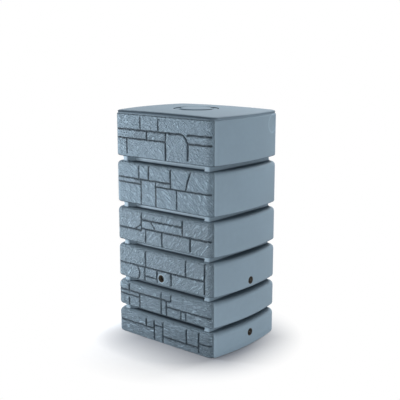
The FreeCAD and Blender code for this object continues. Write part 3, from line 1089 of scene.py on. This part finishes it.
    def wall_heights(self, tier: int, low: float, high: float) -> list[tuple[float, bool]]:
        """Heights of the points on a tier's wall.

        Args:
            tier: number of the tier.
            low: where the foot's rounding ends.
            high: where the head's rounding starts.

        Returns:
            Pairs of a height and whether only the stone front needs it.
        """
        coarse = list(np.linspace(low, high, 4))
        for port in PORTS:
            if self.foot(tier) < port.height < self.head(tier):
                coarse += list(port.height + np.arange(-32, 33, 4) * MM)
        if tier == self.last:
            coarse += list(np.arange(high - self.pad_rows, high, self.pad_spacing))
        coarse = sorted(value for value in coarse if low - 1e-9 <= value <= high + 1e-9)
        beside_joint, least_coarse, least_fine = 3.4 * MM, 1.2 * MM, 1.9 * MM
        rows = [(value, False) for place, value in enumerate(coarse)
                if place == 0 or value - coarse[place - 1] > least_coarse]
        rise = self.head(tier) - self.foot(tier)
        fine = []
        for share, _, _ in self.stone.level[tier]:
            middle = self.foot(tier) + share * rise
            fine += [middle - beside_joint, middle, middle + beside_joint]
        for value in fine + list(np.arange(low, high, self.spacing)):
            near = min(abs(value - kept) for kept, _ in rows)
            if near > least_fine and low < value < high:
                rows.append((value, True))
        return sorted(rows)

    def rows(self) -> list[Row]:
        """All loops of points from the base up over the top, down the neck and down the inside."""
        rows = [Row(height=0.0, inset=self.base_inset)]
        for tier in range(len(self.tiers)):
            foot, head = self.foot(tier), self.head(tier)
            last = tier == self.last
            low_round = self.base_round if tier == 0 else self.foot_round
            high_round = self.shoulder_round if last else self.head_round
            # recess paints shade at each tier's foot, under the foot's rounding and on the top tier's head
            if tier:
                rows.append(Row(height=foot, inset=low_round, to_core=0.6, recess=0.7))
            for step in reversed(range(5)):
                angle = math.radians(22.5 * step)
                rows.append(Row(height=foot + low_round * (1 - math.sin(angle)),
                                inset=low_round * (1 - math.cos(angle)), rise=-math.sin(angle),
                                recess=0.9 * math.sin(angle) ** 1.3 if tier else 0.0,
                                carved=math.cos(angle), tier=tier, fine=step % 2 == 1))
            for height, fine in self.wall_heights(tier, foot + low_round, head - high_round)[1:-1]:
                rows.append(Row(height=height, carved=1.0, tier=tier, fine=fine))
            steps = 4 if last else 6
            for step in range(steps + 1):
                angle = math.pi / 2 * step / steps
                rows.append(Row(height=head - high_round * (1 - math.sin(angle)),
                                inset=high_round * (1 - math.cos(angle)), rise=math.sin(angle),
                                recess=0.35 * math.sin(angle) if last else 0.0,
                                carved=math.cos(angle) ** 1.2, tier=tier, fine=step % 2 == 1))
            if not last:
                rows += self.groove_rows(head)
        return rows + self.top_rows() + self.inner_rows()

    def groove_rows(self, head: float) -> list[Row]:
        """Loops of a groove between two tiers.

        Args:
            head: height of the lower tier's top.

        Returns:
            The loops, from the ledge up the groove's waisted inner wall.
        """
        # recess here paints shade on the ledge and up the groove's wall
        rows = [Row(height=head, inset=self.head_round, to_core=share, recess=dark)
                for share, dark in self.ledge]
        for step, dark in enumerate(self.groove_shades):
            angle = math.pi * step / (len(self.groove_shades) - 1)
            share = (1 - math.cos(angle)) / 2
            rows.append(Row(height=head + self.groove * share, to_core=1.0, recess=dark,
                            core_inset=self.waist * math.sin(angle), fine=step % 2 == 1))
        return rows

    def top_rows(self) -> list[Row]:
        """Loops of the shadow groove, the lip, the crowned top, the recess and the neck."""
        # recess here paints shade under the lip, along its edge and down into the lid's recess
        rows = [Row(height=self.head(self.last) + 3.0 * MM, inset=self.shoulder_round, recess=0.6)]
        for inset, drop, dark in self.lip_profile:
            rows.append(Row(inset=inset * MM, below_crown=drop * MM, recess=dark))
        recess = self.recess_radius
        for share in self.crown_shares:
            rows.append(Row(inset=self.crown_inset, below_crown=0.0, to_ring=share, ring=recess + 2 * MM))
        for radius, drop, dark in ((recess + 2 * MM, 0.0, 0.0), (recess + 0.7 * MM, 0.3, 0.4),
                                   (recess, 1.2, 0.9)):
            rows.append(Row(below_crown=drop * MM, to_ring=1.0, ring=radius, recess=dark))
        neck, foot = self.neck_radius, self.seat - self.neck_length
        rows.append(Row(height=self.seat, to_ring=1.0, ring=recess, recess=0.8))
        for radius, height in ((neck + 2 * MM, self.seat), (neck, self.seat - 2 * MM), (neck, foot),
                               (neck + self.wall, foot), (neck + self.wall, self.seat - self.wall)):
            rows.append(Row(height=height, to_ring=1.0, ring=radius))
        return rows

    def inner_rows(self) -> list[Row]:
        """Loops of the tank's plain inside, from under the seat down to the floor."""
        wall = self.wall
        ring = self.recess_radius + wall
        rows = [Row(height=self.seat - wall, to_ring=1.0, ring=ring),
                Row(below_crown=wall, to_ring=1.0, ring=ring),
                Row(below_crown=wall, to_ring=0.4, ring=ring, inset=self.overhang + wall),
                Row(below_crown=wall, inset=self.overhang + wall)]
        for tier in reversed(range(len(self.tiers))):
            high, low = self.head(tier) - wall, self.foot(tier) + wall
            bevel = (self.head_round - wall) * self.bevel_share
            if tier == self.last:
                rows += [Row(height=high, inset=self.overhang + wall), Row(height=high, inset=wall)]
            else:
                rows += [Row(height=high, to_core=1.0, core_inset=wall),
                         Row(height=high, inset=wall + bevel), Row(height=high - bevel, inset=wall)]
            bevel = (self.foot_round - wall) * self.bevel_share
            heights = {low + bevel}
            for port in PORTS:
                if low < port.height < high:
                    heights |= {port.height + step * MM for step in range(-28, 29, 4)}
            rows += [Row(height=height, inset=wall) for height in sorted(heights, reverse=True)
                     if low + bevel <= height < rows[-1].height - 1 * MM]
            rows.append(Row(height=low, inset=wall + bevel))
            if tier:
                rows.append(Row(height=low, to_core=1.0, core_inset=wall))
        for row in rows:
            row.inner = True
        return rows

    def seat_rings(self, port: Port) -> list[tuple[float, float]]:
        """Rings that lead from a port's block into the seat of its insert.

        Args:
            port: the port.

        Returns:
            Radius and depth of each ring, from the wall inwards.
        """
        boss, bottom = port.boss, self.seat_depth - port.boss
        rings = [(self.boss_radius + 1.0 * MM, 0.0)]
        if boss:
            rings += [(self.boss_radius, -0.3 * boss), (self.boss_radius - 0.3 * MM, -0.8 * boss),
                      (self.boss_radius - 1.0 * MM, -boss)]
        return rings + [(self.seat_radius + 0.6 * MM, -boss), (self.seat_radius, 0.4 * MM - boss),
                        (self.seat_radius, bottom), (self.bore_radius, bottom),
                        (self.bore_radius, bottom + self.wall), (self.backing_radius, bottom + self.wall),
                        (self.backing_radius, 3 * self.wall)]


class TankMesh:
    """The tank's mesh while it is put together: points by row and column, and their faces."""

    def __init__(self, tank: Tank) -> None:
        """Places the points of all rows, with nothing stored on them yet.

        Args:
            tank: the tank's sizes.
        """
        self.tank = tank
        self.rows = tank.rows()
        self.columns = tank.columns()
        self.front = self.columns["front"]
        self.grid = np.stack([self.row_points(row) for row in self.rows])
        # recess holds painted shade, rim a painted highlight along the pads' rims
        names = ("joint", "shade", "carved", "recess", "rim")
        self.values = {name: np.zeros(self.grid.shape[:2]) for name in names}

    def row_points(self, row: Row) -> np.ndarray:
        """Places of a row's points.

        Args:
            row: the loop.

        Returns:
            An (n, 3) array.
        """
        columns = self.columns
        inset = np.full(len(self.front), row.inset)
        if row.inner and row.inset < self.tank.stone_wall:
            inset[self.front] = self.tank.stone_wall
        flat = columns["point"] - columns["outward"] * inset[:, None]
        if row.to_core:
            core = columns["core"] + columns["waist"] * row.core_inset
            flat = flat * (1 - row.to_core) + core * row.to_core
        if row.to_ring:
            angle = np.arctan2(columns["point"][:, 1], columns["point"][:, 0])
            circle = np.stack([np.cos(angle), np.sin(angle)], axis=1) * row.ring
            flat = flat * (1 - row.to_ring) + circle * row.to_ring
        height = np.full(len(flat), row.height)
        if row.below_crown is not None:
            height = self.tank.on_crown(flat) - row.below_crown
        return np.concatenate([flat, height[:, None]], axis=1)

    def darken(self) -> None:
        """Stores how deep in shade each row lies, less so where the light reaches in."""
        tank, recess = self.tank, self.values["recess"]
        sideways, forward = np.abs(self.columns["outward"]).T
        shoulder = tank.head(tank.last) - tank.shoulder_round
        for place, row in enumerate(self.rows):
            recess[place] += row.recess
            if row.to_core:
                recess[place] *= 1 - (1 - tank.side_groove_shade) * sideways
            if row.to_ring == 0 and (row.below_crown is not None or row.height > shoulder):
                recess[place] *= tank.side_shadow + (1 - tank.side_shadow) * forward

    def carve(self) -> None:
        """Moves the points of the stone front in and out to shape the stones."""
        tank = self.tank
        front = np.where(self.front)[0]
        order = front[np.argsort(self.columns["along"][front])]
        normal = np.concatenate([self.columns["outward"][order], np.zeros((len(order), 1))], axis=1)
        for tier in range(len(tank.tiers)):
            numbers = [place for place, row in enumerate(self.rows) if row.tier == tier]
            lines = tank.stone.segments(tier, tank.foot(tier), tank.head(tier), tank.edge)
            along = np.tile(self.columns["along"][order], (len(numbers), 1))
            up = np.repeat([[self.rows[place].height] for place in numbers], len(order), 1)
            shape = tank.stone.relief(along, up, lines, tank.edge, tier)
            share = np.array([[self.rows[place].carved] for place in numbers])
            calm = np.ones(along.shape)
            for port in PORTS:
                if port.face is Face.FRONT:
                    reach = np.hypot(along - port.across, up - port.height)
                    calm = calm * np.clip((reach - tank.calm_from) / tank.calm_fade, 0, 1)
            step = shape["height"] * share * calm
            for index, place in enumerate(numbers):
                rise = self.rows[place].rise
                move = normal * math.sqrt(max(0.0, 1 - rise**2)) + np.array([0, 0, rise])
                self.grid[place, order] += move * step[index][:, None]
            tier_points = np.ix_(numbers, order)
            self.values["joint"][tier_points] = shape["joint"] * share * calm
            self.values["shade"][tier_points] = shape["shade"] * calm
            self.values["carved"][tier_points] = share * calm

    def press_pads(self) -> None:
        """Presses the round flat pads into both sides of the top tier, and stores a painted highlight along
        their rims.
        """
        tank, rim = self.tank, self.values["rim"]
        turn = math.radians(tank.pad_turn)
        radius = tank.plan.side_radius
        bow = radius - math.sqrt(radius**2 - tank.pad_y**2)
        for side in (-1, 1):
            inward = np.array([-side * math.cos(turn), -math.sin(turn), 0])
            sideways = np.array([-inward[1], inward[0], 0])
            centre = np.array([side * (tank.plan.half_width - bow), tank.pad_y, tank.top - tank.pad_drop])
            for place, row in enumerate(self.rows):
                if row.tier != tank.last:
                    continue
                offset = self.grid[place] - centre
                reach = np.hypot(offset @ sideways, offset[:, 2])
                depth = tank.pad_depth - offset @ inward
                share = np.clip((tank.pad_radius - reach) / tank.pad_edge, 0, 1)
                near = (reach < tank.pad_radius) & (depth > 0) & (depth < tank.pad_reach)
                self.grid[place][near] += (inward * (depth * share)[:, None])[near]
                # painted highlight along each pad's rim
                edge = np.clip(1 - np.abs(reach - tank.pad_radius) / tank.pad_rim, 0, 1)
                on_wall = np.abs(depth - tank.pad_depth) < tank.pad_reach
                rim[place] = np.maximum(rim[place], edge * on_wall)

    def in_block(self, port: Port) -> np.ndarray:
        """Which points lie in the block that a port's rings fill.

        Args:
            port: the port.

        Returns:
            True or false by row and column.
        """
        reach = self.tank.blocks[port.face] + 1e-6
        deep, aside, up = port.offsets(self.tank.plan, self.grid)
        shallow = np.abs(deep) <= self.tank.block_depth
        return shallow & (np.abs(aside) <= reach) & (np.abs(up) <= reach)

    def in_bore(self, port: Port, corners: np.ndarray) -> bool:
        """Whether a face of the inside stands in the way of a port's bore.

        Args:
            port: the port.
            corners: the face's corners.

        Returns:
            True if it does.
        """
        deep, aside, up = port.offsets(self.tank.plan, corners)
        reach = np.hypot(aside, up)
        near = np.abs(deep).max() < self.tank.bore_depth
        return bool(near and reach.min() < self.tank.bore_near and reach.max() < self.tank.bore_far)

    def add_outside(self, skin: Skin, numbers: np.ndarray) -> dict:
        """Adds the outer faces, but for those in the ports' blocks.

        Args:
            skin: the mesh being built.
            numbers: point numbers by row and column.

        Returns:
            The faces taken out, by port.
        """
        taken = {port.name: [] for port in PORTS}
        blocks = [(taken[port.name], self.in_block(port)) for port in PORTS]
        for column, after in enumerate(np.roll(np.arange(len(self.front)), -1)):
            close = self.front[column] and self.front[after]
            chosen = [place for place, row in enumerate(self.rows) if not row.inner
                      and (close or not row.fine)]
            for low, high in zip(chosen[:-1], chosen[1:]):
                between = range(low + 1, high)
                face = [numbers[low, column], numbers[low, after]]
                if self.front[after]:
                    face += [numbers[place, after] for place in between]
                face += [numbers[high, after], numbers[high, column]]
                if self.front[column]:
                    face += [numbers[place, column] for place in reversed(between)]
                corners = (low, column), (low, after), (high, column), (high, after)
                faces = next((faces for faces, block in blocks
                              if all(block[corner] for corner in corners)), skin.faces)
                faces.append(tuple(int(corner) for corner in face))
        return taken

    def add_inside(self, skin: Skin, numbers: np.ndarray) -> None:
        """Adds the faces of the tank's inside, and joins them to the foot of the neck.

        Args:
            skin: the mesh being built.
            numbers: point numbers by row and column.
        """
        inner = [place for place, row in enumerate(self.rows) if row.inner]
        picked = np.where(self.columns["inner"])[0]
        count = len(self.front)
        for column, after in zip(picked, np.roll(picked, -1)):
            steps = (after - column) % count
            neck = [numbers[inner[0] - 1, (column + step) % count] for step in range(steps + 1)]
            skin.add_face(neck + [numbers[inner[0], after], numbers[inner[0], column]])
            for low, high in zip(inner[:-1], inner[1:]):
                face = [low, low, high, high], [column, after, after, column]
                if not any(self.in_bore(port, self.grid[face]) for port in PORTS):
                    skin.add_face(numbers[face])
        skin.add_face(numbers[inner[-1]][picked])

    def add_seat(self, skin: Skin, port: Port, loop: list[int]) -> None:
        """Fills a port's block with rings that lead into the seat of its insert.

        Args:
            skin: the mesh being built.
            port: the port.
            loop: numbers of the points round the block, in order.
        """
        plan = self.tank.plan
        _, aside, up = port.offsets(plan, self.grid.reshape(-1, 3)[loop])
        angle = np.arctan2(up, aside)
        previous = np.array(loop)
        for radius, depth in self.tank.seat_rings(port):
            numbers = skin.add_points(port.circle(plan, angle, radius, depth))
            skin.add_band(previous, numbers)
            previous = numbers

    def build(self) -> bpy.types.Object:
        """Shapes the points and joins them.

        Returns:
            The piece, without its material.
        """
        self.darken()
        self.carve()
        self.press_pads()
        skin = Skin(values={name: [] for name in self.values})
        numbers = skin.add_points(self.grid, **self.values).reshape(self.grid.shape[:2])
        taken = self.add_outside(skin, numbers)
        self.add_inside(skin, numbers)
        skin.add_face(numbers[0][::-1])
        for port in PORTS:
            self.add_seat(skin, port, border(taken[port.name]))
        return skin.build("tank_body")


def border(faces: list[tuple]) -> list[int]:
    """Orders the outer points of a patch of faces, the way its faces turn.

    Args:
        faces: the patch, as tuples of point numbers.

    Returns:
        The point numbers round the patch.
    """
    edges = {}
    for face in faces:
        for start, end in zip(face, face[1:] + face[:1]):
            edges[(start, end)] = True
    following = {start: end for start, end in edges if (end, start) not in edges}
    loop = [next(iter(following))]
    while following[loop[-1]] != loop[0]:
        loop.append(following[loop[-1]])
    return loop


@dataclass
class PortInsert:
    """A brass bush with a female pipe thread."""

    port: Port
    plan: Plan = field(default_factory=Plan)
    outer: float = 19.0 * MM
    bore: float = 15.15 * MM
    thread_depth: float = 1.45 * MM
    pitch: float = 2.309 * MM
    length: float = 26.0 * MM
    lead_in: float = 1.2 * MM
    chamfer: float = 0.3 * MM
    sides: int = 72

    def build(self) -> bpy.types.Object:
        """Builds the bush.

        Returns:
            The piece, without its material.
        """
        angle = np.linspace(0, 2 * math.pi, self.sides, endpoint=False)
        mouth = self.bore + self.lead_in
        profile = [(self.outer, self.length), (self.outer, self.chamfer), (self.outer - self.chamfer, 0.0),
                   (mouth + 0.2 * MM, 0.0), (mouth, 0.15 * MM)]
        for depth in np.arange(self.lead_in, self.length - 0.2 * MM, self.pitch / 4):
            phase = (depth / self.pitch + angle / (2 * math.pi)) % 1.0
            ridge = self.thread_depth * np.abs(2 * phase - 1)
            fade = min(1.0, (depth - self.lead_in) / self.pitch + 0.2)
            profile.append((self.bore + ridge * fade + self.lead_in * 0.4 * (1 - fade), depth))
        profile.append((self.bore, self.length))
        skin = Skin()
        loops = [skin.add_points(self.port.circle(self.plan, angle, radius, depth - self.port.boss))
                 for radius, depth in profile]
        for first, second in zip(loops, loops[1:] + loops[:1]):
            skin.add_band(second, first)
        return skin.build(self.port.name.replace("insert", "bush"), 50.0)


@dataclass
class ScrewRidge:
    """A coarse moulded thread ridge on the lid's skirt or in the neck."""

    name: str
    root: float
    crest: float
    low: float
    turns: float
    start: float = 0.3
    pitch: float = 12 * MM
    foot_width: float = 4.4 * MM
    crest_width: float = 2.0 * MM
    steps: int = 96
    taper_steps: int = 8

    def build(self) -> bpy.types.Object:
        """Builds the ridge as a closed strip that tapers out at both ends.

        Returns:
            The piece, without its material.
        """
        skin = Skin()
        total = round(self.turns * self.steps)
        loops = []
        for step in range(total + 1):
            turn = step / self.steps
            angle = self.start + 2 * math.pi * turn
            middle = self.low + turn * self.pitch
            fade = min(1.0, step / self.taper_steps, (total - step) / self.taper_steps)
            crest = self.root + (self.crest - self.root) * max(fade, 0.05)
            section = [(self.root, -self.foot_width / 2), (crest, -self.crest_width / 2),
                       (crest, self.crest_width / 2), (self.root, self.foot_width / 2)]
            loops.append(skin.add_points(np.array(
                [(radius * math.cos(angle), radius * math.sin(angle), middle + rise)
                 for radius, rise in section])))
        for first, second in zip(loops[:-1], loops[1:]):
            skin.add_band(first, second)
        skin.faces += [tuple(loops[0].tolist()), tuple(loops[-1][::-1].tolist())]
        return skin.build(self.name)


@dataclass(frozen=True)
class Lamp:
    """A soft square lamp: where it stands, its power in watts, its side and where it points."""

    name: str
    place: tuple
    power: float
    size: float
    aim: tuple = (0.0, 0.0, 0.6)


@dataclass
class Studio:
    """Pale floor, soft light and the camera of the photograph."""

    lens: float = 70.672
    place: tuple = (2.5277, -3.0076, 1.5113)
    lamps: tuple = (
        Lamp("front", (-4.2, -11.2, 2.6), 570.0, 2.0),
        Lamp("key", (-1.5, -1.0, 0.8), 33.0, 0.3),
        Lamp("side", (9.0, -2.2, 0.8), 292.0, 3.0),
        Lamp("top", (0.3, 2.6, 3.6), 112.0, 1.4),
    )
    pitch: float = 11.692
    yaw: float = 39.768
    sky: float = 0.42
    bounce: tuple = (0.86, 0.87, 0.88, 1.0)
    floor_tone: tuple = (0.82, 0.83, 0.85, 1.0)
    # floor_shade: colour of the painted shadow round the tank's foot; shade_middle, shade_reach and
    # shade_fade place it
    floor_shade: tuple = (0.2, 0.22, 0.26, 1.0)
    floor_glow: float = 0.08
    white_from: float = 0.38
    white_over: float = 0.26
    shade_middle: tuple = (0.13, -0.02, 0.0)
    shade_reach: tuple = (0.25, 0.2, 0.0)
    shade_fade: float = 3.4
    floor_reach: float = 30.0
    middle: tuple = (-0.03, -0.1, 0.0)

    def floor(self) -> None:
        """Adds a wide pale floor that keeps the tank's shadow, with a painted shadow round its foot, and
        goes over into plain white.
        """
        mesh = bpy.data.meshes.new("floor")
        reach = self.floor_reach
        mesh.from_pydata([(-reach, -reach, 0), (reach, -reach, 0), (reach, reach, 0), (-reach, reach, 0)],
                         [], [(0, 1, 2, 3)])
        floor = bpy.data.objects.new("floor", mesh)
        bpy.context.scene.collection.objects.link(floor)
        material = bpy.data.materials.new("pale_floor")
        shader = Shader.of(material)
        seen, place = self.seen(shader), shader.place()
        away = shader.vector("LENGTH", shader.vector("SUBTRACT", place, self.middle))
        far = ((away - self.white_from) * (1.0 / self.white_over)).clamped()
        # painted shadow: the seen floor colour goes darker round the tank's foot
        near = shader.mix(self.painted_foot_shadow(shader, place), self.floor_tone, self.floor_shade)
        body = shader.node("ShaderNodeBsdfPrincipled", {}, {
            "Base Color": shader.mix(seen, self.bounce, near),
            "Roughness": 1.0,
            "Specular IOR Level": 0.0,
            "Emission Color": shader.mix(seen, BLACK, WHITE),
            "Emission Strength": self.floor_glow,
        })
        plain = shader.node("ShaderNodeEmission", {}, {"Color": WHITE, "Strength": 1.0})
        both = shader.node("ShaderNodeMixShader", {}, {0: far * seen, 1: body, 2: plain})
        shader.node("ShaderNodeOutputMaterial", {}, {"Surface": both}, None)
        mesh.materials.append(material)

    def painted_foot_shadow(self, shader: Shader, place: Signal) -> Signal:
        """Share of the painted shadow round the tank's foot, 1 at it and 0 well away from it.

        Args:
            shader: the floor's nodes.
            place: the place on the floor.

        Returns:
            The closeness.
        """
        spread = shader.vector("ABSOLUTE", shader.vector("SUBTRACT", place, self.shade_middle))
        past = shader.vector("MAXIMUM", shader.vector("SUBTRACT", spread, self.shade_reach), (0.0, 0.0, 0.0))
        return (1.0 - shader.vector("LENGTH", past) * self.shade_fade).clamped()

    @staticmethod
    def seen(shader: Shader) -> Signal:
        """1 for rays from the camera or from metal and glass, 0 for light on the tank."""
        camera, glossy, through = (shader.node("ShaderNodeLightPath", {}, {}, f"Is {kind} Ray")
                                   for kind in ("Camera", "Glossy", "Transmission"))
        return (camera + glossy + through).clamped()

    def world(self) -> None:
        """Sets an even sky that shows as white."""
        world = bpy.data.worlds.new("studio")
        bpy.context.scene.world = world
        shader = Shader.of(world)
        sky, plain = (shader.node("ShaderNodeBackground", {}, {"Color": WHITE, "Strength": strength})
                      for strength in (self.sky, 1.0))
        both = shader.node("ShaderNodeMixShader", {}, {0: self.seen(shader), 1: sky, 2: plain})
        shader.node("ShaderNodeOutputWorld", {}, {"Surface": both}, None)

    @staticmethod
    def light(lamp: Lamp) -> None:
        """Adds a soft square lamp that points at the tank.

        Args:
            lamp: its place, power and size.
        """
        data = bpy.data.lights.new(lamp.name, "AREA")
        data.energy = lamp.power
        data.size = lamp.size
        stand = bpy.data.objects.new(lamp.name, data)
        stand.location = lamp.place
        aim = Vector(lamp.aim) - Vector(lamp.place)
        stand.rotation_euler = aim.to_track_quat("-Z", "Y").to_euler()
        bpy.context.scene.collection.objects.link(stand)

    def camera(self) -> None:
        """Sets the camera where the photograph was taken from."""
        data = bpy.data.cameras.new("camera")
        data.lens = self.lens
        data.sensor_width = 36.0
        camera = bpy.data.objects.new("camera", data)
        camera.location = self.place
        camera.rotation_euler = (math.radians(90 - self.pitch), 0.0, math.radians(self.yaw))
        bpy.context.scene.collection.objects.link(camera)
        bpy.context.scene.camera = camera

    def build(self) -> None:
        """Sets the whole stage."""
        self.floor()
        self.world()
        for lamp in self.lamps:
            self.light(lamp)
        self.camera()
        bpy.context.scene.view_settings.view_transform = "Standard"


def dress(piece: bpy.types.Object, material: bpy.types.Material, body: str) -> None:
    """Gives a piece its material and its body.

    Args:
        piece: the piece.
        material: its finish.
        body: the body that it moves with.
    """
    piece.data.materials.clear()
    piece.data.materials.append(material)
    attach(piece, body)
    LOG.info("%s rides on %s: %d faces", piece.name, body, len(piece.data.polygons))


def repaint(node: bpy.types.Object, material: bpy.types.Material) -> None:
    """Gives a carried-over node its material.

    Args:
        node: the node.
        material: its finish.
    """
    for slot in node.material_slots:
        slot.link = "OBJECT"
        slot.material = material
    LOG.info("%s keeps its shape", node.name)


def main() -> None:
    """Builds the pieces in order and sets the stage."""
    logging.basicConfig(level=logging.INFO, format="%(message)s")
    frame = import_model()
    plastic = MouldedPlastic().material("tank_plastic")
    stone_plastic = MouldedPlastic(stone=True).material("stone_plastic")
    brass = DullBrass().material("dull_brass")
    rubber = SealRubber().material("seal_rubber")
    tank = Tank()
    body = TankMesh(tank).build()
    dress(body, stone_plastic, "tank")
    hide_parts("tank_shell")
    for port in PORTS:
        bush = PortInsert(port, tank.plan).build()
        dress(bush, brass, "tank")
        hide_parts(port.name)
    skirt_ridge = ScrewRidge("lid_thread", root=97.4 * MM, crest=99.2 * MM,
                             low=tank.seat - 11 * MM, turns=0.9)
    dress(skirt_ridge.build(), plastic, "lid")
    neck_ridge = ScrewRidge("neck_thread", root=100.1 * MM, crest=98.0 * MM,
                            low=tank.seat - 17 * MM, turns=1.1)
    dress(neck_ridge.build(), plastic, "tank")
    lid_plastic = MouldedPlastic(ring=tank.grip_radius).material("lid_plastic")
    repaint(frame["nodes"]["screw_lid"], lid_plastic)
    repaint(frame["nodes"]["lid_seal"], rubber)
    Studio().build()


if __name__ == "__main__":
    main()
